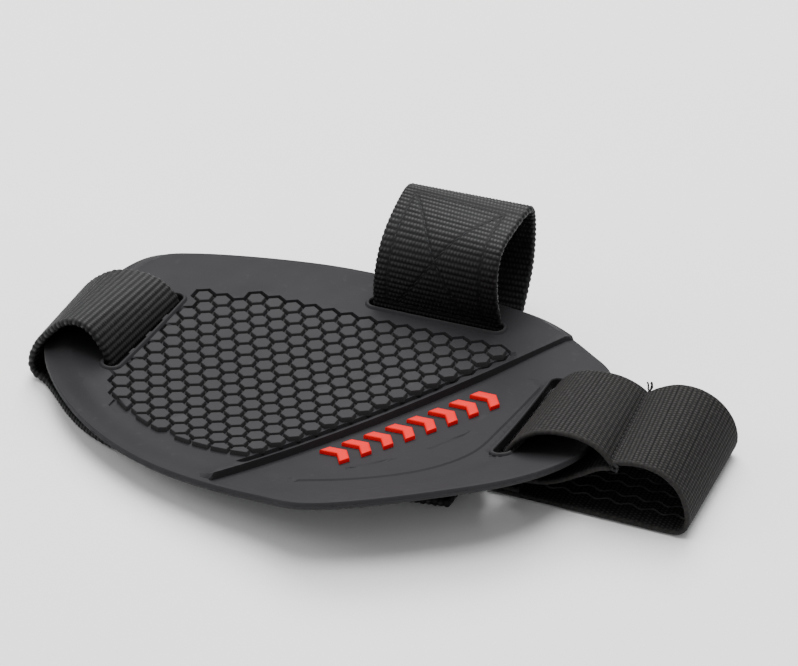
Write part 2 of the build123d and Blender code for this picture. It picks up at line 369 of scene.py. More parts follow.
def pile_material(name, dark, light, scale):
    s = Shader(name, grey(dark), 0.85, Specular_IOR_Level=0.25, Sheen_Weight=0.3)
    tufts = s.add("ShaderNodeTexVoronoi", Scale=scale)
    s.link(s.coordinates(), tufts.inputs["Vector"])
    s.color(s.ramp(tufts.outputs["Distance"], (0.05, grey(light)), (0.7, grey(dark))))
    s.bumps((tufts.outputs["Distance"], 0.8, 0.0004), (s.noise(2500.0), 0.4, 0.0001))
    return s.material


def grip_material():
    s = Shader("silicone_line", grey(0.03), 0.5, Specular_IOR_Level=0.25)
    s.color(s.ramp(s.noise(300.0), (0.3, grey(0.022)), (0.7, grey(0.045))))
    s.bumps((s.noise(1500.0), 0.3, 0.0001))
    return s.material


def floor_material():
    s = Shader("pale_floor", grey(0.86), 0.9, Specular_IOR_Level=0.1)
    s.color(s.ramp(s.noise(6.0, 2.0), (0.3, grey(0.85)), (0.7, grey(0.88))))
    return s.material


RUBBER, RED, WEBBING = rubber_material(), red_material(), webbing_material()
ELASTIC, THREAD, GRIP = elastic_material(), thread_material(), grip_material()
LOOP_TAPE = pile_material("loop_tape", 0.014, 0.036, 900.0)
HOOK_TAPE = pile_material("hook_tape", 0.010, 0.045, 650.0)

# ---- the pad's shape
PAD_OUTLINE = [(-57.8, 2), (-54.5, -15.5), (-37, -33.5), (-13, -46), (17.5, -53.2), (34.5, -55.1),
               (57, -42.4), (71, -29.5), (77.8, -11.8), (76.5, 8), (72, 25), (64.5, 33.8),
               (47.8, 43.6), (22, 46.8), (-9.7, 47), (-42, 39.6), (-55.6, 28.6)]
UNDER, UNDER_INSET = -4.6, 0.45       # underside of the moulding, and its edge inside the outline
PANEL = -2.5                  # lower panel, and the near rim
FLOOR = -1.2                  # floor between the studs
STUD_PITCH, STUD_HALF, STUD_ANGLE = 4.8, 2.08, 30.0
ARC_CENTRE, ARC_RADIUS = np.array([2.4, 14.5]), 52.6      # studs are cut off at this arc
FLUSH_CENTRE = np.array([6.5, -1.5])
FIELD = np.array([(-33.5, 18.5), (-29.5, 24.0), (-21.5, 24.0), (-21.5, 27.0), (45.5, 27.0),
                  (47.5, 25.0), (7.6, -44.5), (-31.0, -32.0), (-34.6, -22.0)])
BAND = np.array([(6.6, -49.6), (57.4, 39.6)])       # foot of the step down to the lower panel
BAND_FACE = 0.35
CUT = np.array([(7.7, -40.6), (46.0, 26.4)])        # the edge beside the studs, above the ledge's foot
CUT_FACE, CUT_DEPTH = 0.25, 1.05
LIP = -0.75                   # level of the step's upper edge
LIP_SLOPE = (0.5, 9.0)        # the ground falls to it over these distances from the step
LIP_RIM = (1.2, 2.4)          # and it dies out at these distances from the rim
CUT_SLANT, CUT_START, CUT_END = 0.6, 1.2, 0.6       # how the cut starts and ends along its edge
FAR_SIDE = (24, 36)           # across the pad, the near rim's section becomes the far rim's here
NEAR_RIM_WIDTH, FAR_RIM_WIDTH, FAR_RIM_LEVEL = 6.5, 2.4, -1.5
RIM_FLAT = 0.6                # flat edge outside the far rim's slope
FLUSH_FROM, FLUSH_TO = (12, 36), (205, 226)   # degrees about FLUSH_CENTRE: ground flush with the studs
PANEL_FAR, PANEL_RISE, PANEL_RIM_FALL = -1.9, (14, 34), 0.5
EDGE_ROUND, EDGE_ROUND_WIDTH = 0.28, 0.5
SLOTS = {"sole": (-36.5, 0.3, 35.6, 90.0), "keeper": (24.1, 33.7, 34.4, 0.0),
         "heel": (60.5, 1.8, 39.0, 90.0)}
SLOT_WIDTH = 3.6
RIM_RINGS = (0.0, 0.12, 0.5, 1.3, 2.4, 4.6, 6.8, 9.0)
BEAD_RINGS = ((0.0, 0.32), (0.14, 0.56), (0.36, 0.64), (0.62, 0.54), (0.86, 0.26), (1.02, 0.0))
SWOOSH = [(23.8, -42.4), (34.0, -38.6), (43.6, -33.0), (50.2, -26.2), (54.4, -16.9), (55.4, -4.0),
          (56.1, 6.6), (56.9, 16.7)]
SWOOSH_STEP, SWOOSH_FACE, SWOOSH_FADE = 0.35, 0.45, (5.0, 9.0)
SPEARS = [((31.5, -33.4), (38.6, -26.2), 0.7), ((44.6, -18.2), (50.2, -7.5), 0.7)]
SPEAR_HEIGHT = 0.30
SPEAR_STATIONS = ((0.0, 0.0), (0.2, 0.7), (0.45, 1.0), (0.75, 0.6), (1.0, 0.0))


def dish(x, y):
    """Height of the dished reference face over the drawing plane."""
    a, b = np.asarray(x) / 70.0, np.asarray(y) / 50.0
    return (4.5 * a * a - 1.9 * a * b + 3.3 * b * b - 4.8 * a * a * b + 2.5 * a * b * b - b ** 3)


def outline_line(step=0.8):
    line = closed(spline(PAD_OUTLINE, 60, close=True))
    along = lengths(line)
    at = np.linspace(0, along[-1], int(along[-1] / step) + 1)[:-1]
    return resample(along, at, line)


OUTLINE = outline_line()
_tangent = np.roll(OUTLINE, -1, axis=0) - np.roll(OUTLINE, 1, axis=0)
_tangent /= np.linalg.norm(_tangent, axis=1)[:, None]
INWARD = np.stack([-_tangent[:, 1], _tangent[:, 0]], axis=1)


def slot_line(slot, grow):
    """A slot's outline, grown outwards."""
    x, y, length, turn = slot
    radius, half = SLOT_WIDTH / 2 + grow, length / 2 - SLOT_WIDTH / 2
    angles = np.radians(np.linspace(-90, 90, 13))
    right = np.stack([half + radius * np.cos(angles), radius * np.sin(angles)], axis=1)
    straight = np.stack([np.linspace(half, -half, 25)[1:-1], np.full(23, radius)], axis=1)
    loop = np.vstack([right, straight, -right, -straight])
    c, s = cos_sin(turn)
    return np.stack([x + loop[:, 0] * c - loop[:, 1] * s, y + loop[:, 0] * s + loop[:, 1] * c], axis=1)


def slot_distance(points, slot):
    """How far points are outside a slot's edge."""
    x, y, length, turn = slot
    c, s = cos_sin(turn)
    half = length / 2 - SLOT_WIDTH / 2
    ends = np.array([(x - half * c, y - half * s), (x + half * c, y + half * s)])
    return segment_distance(points, ends) - SLOT_WIDTH / 2


def stud_centres():
    c, s = cos_sin(STUD_ANGLE)
    for column in range(-9, 13):
        for row in range(-14, 15):
            u = column * math.sqrt(3) / 2 * STUD_PITCH
            v = -(column / 2 + row) * STUD_PITCH
            x, y = u * c - v * s, u * s + v * c
            clear = math.hypot(x - ARC_CENTRE[0], y - ARC_CENTRE[1]) < ARC_RADIUS + 0.4
            if clear and inside(np.array([(x, y)]), FIELD)[0]:
                yield x, y


STUDS = np.array(list(stud_centres()))
HEX_NORMALS = np.array([cos_sin(angle) for angle in (0, 60, 120)])


def hexagon(x, y, apothem):
    radius = apothem / math.cos(math.radians(30))
    return [(x + radius * c, y + radius * s) for c, s in map(cos_sin, range(30, 390, 60))]


def cell_distance(points):
    """The honeycomb distance from each point to the nearest stud's centre."""
    best = np.full(len(points), 1e9)
    for centre in STUDS:
        best = np.minimum(best, np.abs((points - centre) @ HEX_NORMALS.T).max(axis=1))
    return best


def side_of(points, line):
    """Signed distance to the left of a straight line."""
    (x0, y0), (x1, y1) = line
    length = math.hypot(x1 - x0, y1 - y0)
    return ((x1 - x0) * (points[:, 1] - y0) - (y1 - y0) * (points[:, 0] - x0)) / length


def along_of(points, line):
    a, b = line
    return (points - a) @ (b - a) / np.linalg.norm(b - a)


SWOOSH_LINE = spline(SWOOSH, 12)
CELL_GROUND, CELL_FLOOR = STUD_PITCH - STUD_HALF + 0.12, STUD_PITCH - STUD_HALF - 0.12


def relief(points):
    """Height of the pad's top above the dished face."""
    rim = segment_distance(points, closed(OUTLINE))
    band = side_of(points, BAND)
    far = smoothstep(points[:, 1], *FAR_SIDE)
    hex_side = with_cut(points, raised_level(points, rim, band, far), rim, band)
    panel = mix(PANEL, PANEL_FAR, smoothstep(points[:, 1], *PANEL_RISE))
    panel = panel - PANEL_RIM_FALL * (1 - ramp(rim, RIM_FLAT, FAR_RIM_WIDTH)) * far
    crossing = ramp(band, 0.0, BAND_FACE)
    level = np.where(band > 0, mix(np.minimum(panel, hex_side), hex_side, crossing), panel)
    level = level - SWOOSH_STEP * side_of_swoosh(points) * (band < 0)
    for start, end, width in SPEARS:
        line = np.array([start, end])
        t = np.clip(along_of(points, line) / np.linalg.norm(line[1] - line[0]), 0, 1)
        half = width * np.sin(math.pi * t ** 0.6)
        off = segment_distance(points, line)
        level = level + SPEAR_HEIGHT * np.clip(1 - off / np.maximum(half, 0.05), 0, 1) * (band < 0)
    for name, slot in SLOTS.items():
        distance = slot_distance(points, slot)
        reach, height = zip(*BEAD_RINGS)
        bead = np.interp(distance, reach, height)
        base = PANEL if name == "heel" else 0.0
        level = np.where(distance < reach[-1], np.maximum(level, base + bead - 0.02), level)
    inward = np.clip(rim / EDGE_ROUND_WIDTH, 0, 1)
    return level - EDGE_ROUND * (1 - np.sqrt(np.clip(1 - (1 - inward) ** 2, 0, 1)))


def raised_level(points, rim, band, far):
    """Level of the half with the studs: its ground, the floor round the studs, and the rim's fall."""
    around = points - FLUSH_CENTRE
    angle = np.degrees(np.arctan2(around[:, 1], around[:, 0])) % 360
    flush = smoothstep(angle, *FLUSH_FROM) * (1 - smoothstep(angle, *FLUSH_TO))
    ground = np.minimum(mix(FLOOR, 0.0, flush), mix(LIP, 0.0, ramp(band, *LIP_SLOPE)))
    ground = np.where(cell_distance(points) < (CELL_GROUND + CELL_FLOOR) / 2, FLOOR, ground)
    rim_level, rim_width = mix(PANEL, FAR_RIM_LEVEL, far), mix(NEAR_RIM_WIDTH, FAR_RIM_WIDTH, far)
    fall = mix(1 - smoothstep(rim, 0, rim_width), 1 - ramp(rim, RIM_FLAT, rim_width), far)
    return mix(ground, rim_level, fall)


def with_cut(points, level, rim, band):
    """The same level with the drop beside the studs, and the ledge that climbs from it to the lip."""
    cut = -side_of(points, CUT)
    cut_along = along_of(points, CUT)
    cut_length = np.linalg.norm(CUT[1] - CUT[0])
    climb = np.clip(cut / np.maximum(cut + band - BAND_FACE, 0.1), 0, 1)
    lip = mix(level, np.maximum(level, LIP), ramp(rim, *LIP_RIM))
    ends = ramp(cut_along - CUT_SLANT * cut, 0.0, CUT_START)
    ends = ends * (1 - ramp(cut_along, cut_length - CUT_END, cut_length))
    foot = level - CUT_DEPTH * ends
    return np.where(cut > 0, mix(level, mix(foot, lip, climb), ramp(cut, 0.0, CUT_FACE)), level)


def side_of_swoosh(points):
    """1 on the rim's side of the curved line on the lower panel, 0 inside it."""
    area = np.vstack([SWOOSH_LINE, (50.0, 25.0), (30.0, -12.0), (12.0, -42.0)])
    away = segment_distance(points, SWOOSH_LINE)
    drop = np.where(inside(points, area), 0.0, ramp(away, 0.0, SWOOSH_FACE))
    return drop * (1 - smoothstep(away, *SWOOSH_FADE))


def triangulate(points, edges, keep):
    """A plane triangulation with the given edges in it, less the triangles whose middle isn't kept."""
    flat, _, faces, *_ = delaunay_2d_cdt([Vector(p) for p in points], edges, [], 0, 1e-5, False)
    flat = np.array([(v.x, v.y) for v in flat])
    faces = np.array([f for f in faces if len(f) == 3])
    return flat, faces[keep(flat[faces].mean(axis=1))]


class Sketch:
    """Points and edges for one triangulation."""

    def __init__(self):
        self.points, self.edges = [], []

    def line(self, points, close=False):
        start = len(self.points)
        self.points += [tuple(p) for p in points]
        count = len(points)
        self.edges += [(start + i, start + i + 1) for i in range(count - 1)]
        if close:
            self.edges.append((start + count - 1, start))

    def grid(self, step, away):
        """Loose points on a staggered grid, where nothing else is close."""
        xs, ys = np.arange(-60, 82, step), np.arange(-58, 50, step * 0.87)
        loose = np.array([(x + (row % 2) * step / 2, y) for row, y in enumerate(ys) for x in xs])
        taken = np.array(self.points)
        keep = inside(loose, OUTLINE)
        for chunk in np.array_split(np.arange(len(loose)), 40):
            gap = np.hypot(*(loose[chunk, None, :] - taken[None, :, :]).transpose(2, 0, 1)).min(axis=1)
            keep[chunk] &= gap > away
        self.points += [tuple(p) for p in loose[keep]]


def ring_at(inset):
    return OUTLINE + INWARD * inset


def in_pad(middles):
    keep = inside(middles, OUTLINE)
    for slot in SLOTS.values():
        keep &= slot_distance(middles, slot) > 0
    return keep


def parallel(line, offset):
    """A straight line's points, moved to its left."""
    a, b = line
    along = unit(b - a)
    left = np.array([-along[1], along[0]])
    return [mix(a, b, t) + left * offset for t in np.linspace(0, 1, 60)]


def pad_top():
    """The whole upper face, with an edge along every crease."""
    sketch = Sketch()
    for inset in RIM_RINGS:
        sketch.line(ring_at(inset)[:: 1 if inset < 2 else 2], close=True)
    for slot in SLOTS.values():
        for grow, _ in BEAD_RINGS:
            sketch.line(slot_line(slot, grow), close=True)
    for offset in (0.0, BAND_FACE):
        sketch.line([p for p in parallel(BAND, offset) if inside(np.array([p]), ring_at(0.6))[0]])
    for offset in (0.0, -CUT_FACE):
        sketch.line(parallel(CUT, offset))
    sketch.line(SWOOSH_LINE[::2])
    side = np.gradient(SWOOSH_LINE, axis=0)
    side = np.stack([side[:, 1], -side[:, 0]], axis=1) / np.linalg.norm(side, axis=1)[:, None]
    sketch.line((SWOOSH_LINE + SWOOSH_FACE * side)[::2])
    for start, end, width in SPEARS:
        a, b = np.array(start), np.array(end)
        left = np.array([-(b - a)[1], (b - a)[0]]) / np.linalg.norm(b - a) * width
        for side in (1, -1, 0):
            sketch.line([mix(a, b, t) + side * swell * left for t, swell in SPEAR_STATIONS])
    for x, y in border_studs():
        for apothem in (CELL_FLOOR, CELL_GROUND):
            sketch.line(hexagon(x, y, apothem), close=True)
    sketch.grid(1.5, 0.55)
    flat, faces = triangulate(sketch.points, sketch.edges, in_pad)
    top = np.column_stack([flat, dish(*flat.T) + relief(flat)])
    return top, faces.tolist()


def border_studs():
    """Studs with fewer than six neighbours."""
    for x, y in STUDS:
        if (np.hypot(STUDS[:, 0] - x, STUDS[:, 1] - y) < STUD_PITCH * 1.1).sum() < 7:
            yield x, y


def tube(rings):
    """A closed tube through rings of equal count."""
    points, faces = wall(rings)
    count = len(rings[0])
    return points, faces + [list(range(count))[::-1], list(range(len(points) - count, len(points)))]


def wall(rings):
    """Quads between closed rings of equal count."""
    count = len(rings[0])
    points = np.vstack(rings)
    faces = []
    for level in range(len(rings) - 1):
        for i in range(count):
            j = (i + 1) % count
            a, b = level * count, (level + 1) * count
            faces.append([a + i, b + i, b + j, a + j])
    return points, faces


def lifted(line, level):
    return np.column_stack([line, dish(*line.T) + level])


def pad_sides():
    """The rim's side with its parting line and flash, and the walls of the slots."""
    draw = random.Random(7)
    top = relief(OUTLINE)
    parting = (top + UNDER) / 2
    speck = np.array([0.10 + 0.16 * draw.random() ** 3 for _ in OUTLINE])[:, None]
    flash = OUTLINE - INWARD * speck
    rings = [lifted(OUTLINE, top),
             lifted(ring_at(-0.05), top - 0.35),
             lifted(ring_at(-0.10), parting + 0.16),
             lifted(flash, parting + 0.04),
             lifted(flash, parting - 0.04),
             lifted(ring_at(0.05), parting - 0.14),
             lifted(ring_at(0.12), UNDER + 0.4),
             lifted(ring_at(UNDER_INSET), UNDER)]
    yield wall(rings)
    for slot in SLOTS.values():
        edge = slot_line(slot, 0.0)
        yield wall([lifted(edge, UNDER), lifted(edge, relief(edge))])


def pad_underside():
    sketch = Sketch()
    sketch.line(ring_at(UNDER_INSET), close=True)
    for slot in SLOTS.values():
        sketch.line(slot_line(slot, 0.0), close=True)
    sketch.grid(4.0, 1.6)
    flat, faces = triangulate(sketch.points, sketch.edges,
                              lambda m: in_pad(m) & inside(m, ring_at(UNDER_INSET)))
    return lifted(flat, UNDER), faces[:, ::-1].tolist()


def weld(obj, distance=0.000004):
    """Join a mesh where its parts meet, and turn its faces outwards."""
    edit = bmesh.new()
    edit.from_mesh(obj.data)
    bmesh.ops.remove_doubles(edit, verts=edit.verts, dist=distance)
    bmesh.ops.dissolve_degenerate(edit, edges=edit.edges, dist=distance / 4)
    bmesh.ops.recalc_face_normals(edit, faces=edit.faces)
    edit.to_mesh(obj.data)
    edit.free()


def finish_piece(obj, body, slot, *nodes):
    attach(obj, body)
    if nodes:
        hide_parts(*nodes)


def sewn(name, parts, body, *nodes):
    """A piece of all the given stitches."""
    finish_piece(piece(name, *joined(parts), THREAD), body, "thread", *nodes)


def make_pad():
    points, faces = joined([pad_top(), *pad_sides(), pad_underside()])
    pad = piece("pad_moulding", points, faces, RUBBER)
    weld(pad)
    pad.data.set_sharp_from_angle(angle=math.radians(13))
    finish_piece(pad, "pad", "black_rubber", "pad_body")


def clipped(polygon, centre):
    """The part of a stud's outline inside the field's arc."""
    outward = unit(np.asarray(centre) - ARC_CENTRE)
    kept = []
    ring = [np.asarray(p) for p in polygon]
    for a, b in zip(ring, ring[1:] + ring[:1]):
        da, db = (ARC_RADIUS - (p - ARC_CENTRE) @ outward for p in (a, b))
        if da >= 0:
            kept.append(a)
        if da * db < 0:
            kept.append(mix(a, b, da / (da - db)))
    return kept


def shrunk(polygon, amount):
    """A convex outline drawn in by an amount."""
    ring = np.array(polygon)
    before, after = np.roll(ring, 1, axis=0), np.roll(ring, -1, axis=0)
    result = []
    for a, p, b in zip(before, ring, after):
        u, v = unit(p - a), unit(b - p)
        n1, n2 = np.array([-u[1], u[0]]), np.array([-v[1], v[0]])
        result.append(p + amount * (n1 + n2) / (1 + n1 @ n2))
    return np.array(result)


STUD_SECTION = ((0.0, FLOOR - 0.25), (0.17, -0.26), (0.23, -0.08), (0.40, 0.0))


def make_studs():
    """One piece of all the studs: drafted sides, a small bevel and a flat top."""
    parts = []
    for centre in STUDS:
        outline = clipped(hexagon(*centre, STUD_HALF), centre)
        rings = [lifted(shrunk(outline, inset), level) for inset, level in STUD_SECTION]
        points, faces = wall(rings)
        faces.append(list(range(len(points) - len(outline), len(points))))
        parts.append((points, faces))
    points, faces = joined(parts)
    studs = piece("grip_field", points, faces, RUBBER)
    weld(studs)
    studs.data.set_sharp_from_angle(angle=math.radians(20))
    finish_piece(studs, "pad", "black_rubber", "grip_studs")


# ---- red chevrons
MARKS = 8
MARK_START, MARK_END = np.array([25.6, -30.2]), np.array([47.0, 5.0])
MARK_HALF, MARK_ARM, MARK_POINT = 3.9, 2.7, 2.0
MARK_SECTION = ((0.0, -0.4), (0.0, 0.72), (0.10, 0.93), (0.30, 1.04), (0.55, 1.08))


def make_marks():
    heading = MARK_END - MARK_START
    turn = math.atan2(heading[1], heading[0])
    c, s = math.cos(turn), math.sin(turn)
    for index in range(MARKS):
        place = mix(MARK_START, MARK_END, index / (MARKS - 1))
        rings = []
        for inset, level in MARK_SECTION:
            half, arm, point = MARK_HALF - inset, MARK_ARM - inset, MARK_POINT
            steps = np.linspace(-half, half, 9)
            front = [(arm + point * (1 - abs(y) / MARK_HALF), y) for y in steps]
            back = [(inset + point * (1 - abs(y) / MARK_HALF), y) for y in steps[::-1]]
            local = np.array(front + back)
            flat = place + np.stack([local[:, 0] * c - local[:, 1] * s,
                                     local[:, 0] * s + local[:, 1] * c], axis=1)
            rings.append(lifted(flat, PANEL + level))
        points, faces = wall(rings)
        count, first = len(rings[0]), len(points) - len(rings[0])
        faces = [face[::-1] for face in faces]
        faces += [[first + i, first + i + 1, first + count - 2 - i, first + count - 1 - i]
                  for i in range(count // 2 - 1)]
        mark = piece(f"accent_chevron_{index + 1}", points, faces, RED, sharp=40)
        finish_piece(mark, "pad", "red_rubber", f"accent_mark_{index + 1}")


# ---- straps
class Strap:
    """A strap between two selvedges, with its cloth's relief on both faces."""

    def __init__(self, near, far, thick, step, columns, cloth, close=False, flip=False, start=0.0,
                 pressed=()):
        first, second = spline(near, 30, close), spline(far, 30, close)
        if close:
            first, second = closed(first), closed(second)
        along = lengths((first + second) / 2)
        self.length, self.close, self.thick = along[-1], close, thick
        rows = max(8, int(round(self.length / step)))
        at = np.linspace(0, self.length, rows + 1)
        if close:
            at = at[:-1]
        self.at = at + start
        self.near = resample(along, at, first)
        self.far = resample(along, at, second)
        self.width = float(np.linalg.norm(self.far - self.near, axis=1).mean())
        self.columns, self.cloth, self.flip, self.pressed = columns, cloth, flip, pressed
        self.side = np.linspace(0, 1, columns + 1)
        grid = self.near[:, None, :] + (self.far - self.near)[:, None, :] * self.side[None, :, None]
        if close:
            ahead = np.roll(grid, -1, axis=0) - np.roll(grid, 1, axis=0)
        else:
            ahead = np.gradient(grid, axis=0)
        across = (self.far - self.near)[:, None, :] + 0 * grid
        normal = np.cross(ahead, across)
        normal /= np.linalg.norm(normal, axis=2)[:, :, None]
        self.grid, self.normal = grid, -normal if flip else normal

    def surface(self, along, side, lift=0.0, outer=True):
        """A point on one face, by place along and across the strap, and its normal there."""
        row = np.interp(along, self.at, np.arange(len(self.at)))
        column = side * self.columns
        r0, c0 = int(min(row, len(self.at) - 2)), int(min(column, self.columns - 1))
        fr, fc = row - r0, column - c0

        def between(field):
            top = mix(field[r0, c0], field[r0, c0 + 1], fc)
            low = mix(field[r0 + 1, c0], field[r0 + 1, c0 + 1], fc)
            return mix(top, low, fr)

        normal = between(self.normal) * (1 if outer else -1)
        return between(self.grid) + normal * (self.thick / 2 + lift), normal

    def build(self, name, material):
        """The strap's mesh: two woven faces, rounded selvedges, and closed ends."""
        rows, columns = self.grid.shape[:2]
        across = self.side * self.width
        edge = np.minimum(across, self.width - across)
        rise, scallop = self.cloth(self.at[:, None], across[None, :], self.width)
        if self.pressed:
            flat = np.stack(np.broadcast_arrays(self.at[:, None], across[None, :]), axis=2)
            flat = flat.reshape(-1, 2)
            away = np.full(len(flat), 1e9)
            for route in self.pressed:
                line = np.array([(s, w * self.width) for s, w in route])
                away = np.minimum(away, segment_distance(flat, line))
            rise = rise * (1 - PRESS_DEPTH * np.exp(-(away.reshape(rise.shape) / PRESS_REACH) ** 2))
        swell = np.sqrt(np.clip(1 - (1 - np.clip(edge / 0.7, 0, 1)) ** 2, 0, 1))
        half = self.thick / 2 * (0.22 + 0.78 * swell)[None, :] + rise * (0.3 + 0.7 * swell)[None, :]
        sideways = self.far - self.near
        sideways = sideways / np.linalg.norm(sideways, axis=1)[:, None]
        push = scallop * np.where(self.side < 0.5, -1.0, 1.0)[None, :] * np.exp(-edge / 0.5)[None, :]
        base = self.grid + push[:, :, None] * sideways[:, None, :]
        outer = base + self.normal * half[:, :, None]
        inner = base - self.normal * half[:, :, None]
        points = np.vstack([outer.reshape(-1, 3), inner.reshape(-1, 3)])
        # crest sets the cloth material's painted shade in the valleys and painted highlight on the crests
        crest = np.clip(rise / max(float(rise.max()), 1e-6), 0, 1)
        crest = np.concatenate([crest.ravel(), crest.ravel()])
        weave = np.stack(np.broadcast_arrays(across[None, :] * MM, self.at[:, None] * MM), axis=2)
        weave = np.vstack([weave.reshape(-1, 2)] * 2)
        faces, total = [], rows * columns
        last = rows if self.close else rows - 1
        for r in range(last):
            a, b = r * columns, ((r + 1) % rows) * columns
            for c in range(columns - 1):
                quad = [a + c, a + c + 1, b + c + 1, b + c]
                faces += [quad, [i + total for i in quad]]
            for c in (0, columns - 1):
                faces.append([a + c, b + c, b + c + total, a + c + total])
        if not self.close:
            for a in (0, (rows - 1) * columns):
                for c in range(columns - 1):
                    faces.append([a + c, a + c + 1, a + c + 1 + total, a + c + total])
        strap = piece(name, points, faces, material, crest=crest, weave=weave)
        weld(strap, 0.000001)
        return strap


WEBBING_THICK = 1.3
RIB_PITCH, WARP_PITCH = 1.36, 0.9
PRESS_DEPTH, PRESS_REACH = 0.92, 0.42       # how much, and how far, stitches press the cloth down


def webbing_cloth(along, across, width):
    """Ribs across the webbing, each crossed by warp threads, and scalloped selvedges."""
    turn = along / RIB_PITCH
    rib = np.abs(np.sin(math.pi * turn)) ** 0.8
    parity = np.floor(turn) % 2
    warp = 0.5 + 0.5 * np.cos(2 * math.pi * across / WARP_PITCH + math.pi * parity)
    rise = 0.36 * rib * (0.42 + 0.58 * warp)
    scallop = 0.30 * rib + 0 * across
    return rise, scallop


KNIT_ALONG, KNIT_ACROSS = 0.98, 0.92


def elastic_cloth(along, across, width):
    """The small knots of a knitted band, staggered row by row."""
    row = np.floor(along / KNIT_ALONG)
    knot_along = np.abs(np.sin(math.pi * along / KNIT_ALONG))
    knot_across = 0.5 + 0.5 * np.cos(2 * math.pi * (across / KNIT_ACROSS + 0.5 * (row % 2)))
    rise = 0.15 * knot_along ** 0.8 * (0.25 + 0.75 * knot_across)
    near_edge = np.clip(np.minimum(across, width - across) / 1.2, 0, 1)
    return mix(0.09, rise, near_edge), 0 * rise


def capsule(centre, ahead, normal, length, radius):
    """One stitch: a short rounded strand."""
    across = np.cross(normal, ahead)
    profile = ((-0.5, 0.25), (-0.42, 0.8), (-0.15, 1.0), (0.15, 1.0), (0.42, 0.8), (0.5, 0.25))
    rings = []
    for t, size in profile:
        hub = centre + ahead * length * t - normal * radius * 1.1 * (2 * t) ** 4
        rings.append([hub + radius * size * (across * math.cos(a) + normal * 0.8 * math.sin(a))
                      for a in np.linspace(0, 2 * math.pi, 9)[:-1]])
    return tube(rings)


def stitch_run(strap, route, lift, pitch=2.5, radius=0.26, outer=True):
    """Stitches along a route of (along, side) corners on a strap's face."""
    parts = []
    for (s0, w0), (s1, w1) in zip(route[:-1], route[1:]):
        span = math.hypot(s1 - s0, (w1 - w0) * strap.width)
        count = max(1, int(round(span / pitch)))
        for i in range(count):
            t0, t1 = (i + 0.08) / count, (i + 0.92) / count
            a, n0 = strap.surface(mix(s0, s1, t0), mix(w0, w1, t0), lift, outer)
            b, n1 = strap.surface(mix(s0, s1, t1), mix(w0, w1, t1), lift, outer)
            ahead, normal = unit(b - a), (n0 + n1) / 2
            normal = unit(normal - ahead * (normal @ ahead))
            parts.append(capsule((a + b) / 2, ahead, normal, np.linalg.norm(b - a), radius))
    return parts


def at_y(y, line):
    """A line seen from the side, put at one place across the pad."""
    return [(x, y, z) for x, z in line]


# ---- keeper ring
KEEPER_HALF = 16.0
KEEPER_UNDER = [(48.6, -3.0), (44.9, -6.97), (37.4, -6.97)]
KEEPER_LEFT = [(33.9, -3.4), (33.3, 2.5), (33.6, 7.7), (35.3, 12.3), (38.2, 16.2), (42.8, 19.4),
               (48.4, 21.8), (53.4, 22.8), (56.6, 20.6), (56.9, 13.5), (55.4, 6.0), (51.8, 0.8),
               *KEEPER_UNDER]
KEEPER_RIGHT = [(33.9, -3.4), (34.6, 1.8), (32.4, 8.6), (31.4, 14.6), (32.2, 19.4), (35.2, 22.6),
                (41.5, 23.8), (49.7, 24.1), (54.8, 22.8), (56.4, 16.5), (55.4, 8.0), (52.0, 1.6),
                *KEEPER_UNDER]


def make_keeper():
    near = [(KEEPER_X - KEEPER_HALF, y, z) for y, z in KEEPER_LEFT]
    far = [(KEEPER_X + KEEPER_HALF, y, z) for y, z in KEEPER_RIGHT]
    low, high = 6.5, 37.0
    left, right = 0.11, 0.87
    box = [(low, left), (low, right), (high, right), (high, left), (low, left)]
    crosses = [[(low, 0.19), (high, right)], [(low, 0.76), (high, left)]]
    fold = [(high + 1.2, 0.0), (high + 1.2, 1.0)]
    strap = Strap(near, far, WEBBING_THICK, 0.26, 124, webbing_cloth, close=True, flip=True,
                  pressed=(box, *crosses, fold))
    finish_piece(strap.build("keeper_webbing", WEBBING), "keeper", "webbing", "keeper_ring")
    runs = stitch_run(strap, box, -0.02, radius=0.2)
    for cross in crosses:
        runs += stitch_run(strap, cross, 0.04, radius=0.2)
    sewn("keeper_stitches", runs, "keeper", "keeper_stitching")


# ---- sole strap
SOLE_NEAR = at_y(-15.7, [(-51.0, -6.0), (-44.0, -6.0), (-38.9, -5.6), (-36.7, -3.0), (-37.4, 1.5),
                         (-39.4, 6.0), (-42.2, 9.4), (-45.8, 10.4), (-49.4, 9.0), (-52.9, 5.8),
                         (-56.4, 1.6), (-58.3, -2.8), (-57.9, -6.2)])
SOLE_NEAR += [(-54.6, -16.6, -7.38), (-50.5, -19.8, -7.42), (-43.5, -25.8, -7.42), (-36.0, -31.0, -7.2),
              (-27.0, -35.2, -6.5), (-17.0, -36.8, -6.45), (-6.0, -36.4, -6.45)]
SOLE_FAR = at_y(16.3, [(-51.0, -6.0), (-44.0, -6.0), (-38.9, -5.6), (-36.5, -3.0), (-36.3, 1.4),
                       (-39.4, 4.7), (-43.2, 6.0), (-48.2, 6.1), (-53.2, 4.8), (-58.0, 1.6),
                       (-61.4, -2.2), (-62.2, -5.2)])
SOLE_FAR += [(-60.0, 16.5, -7.3), (-56.0, 17.0, -7.42), (-51.0, 17.0, -7.42), (-42.0, 13.5, -7.42),
             (-33.0, 8.0, -7.2), (-23.0, 0.5, -6.5), (-14.0, -4.2, -6.45), (-5.0, -4.4, -6.45)]
SOLE_RUN_LEVEL = -6.45
TIP_NEAR = [(-6.0, -36.4, -6.45), (7.0, -34.4, -6.45), (20.0, -32.0, -6.45), (36.0, -29.4, -6.45),
            (52.4, -26.6, -6.45)]
TIP_FAR = [(-5.0, -4.4, -6.45), (7.5, -2.6, -6.45), (20.5, 0.0, -6.45), (37.0, 2.0, -6.45),
           (53.6, 4.0, -6.45)]


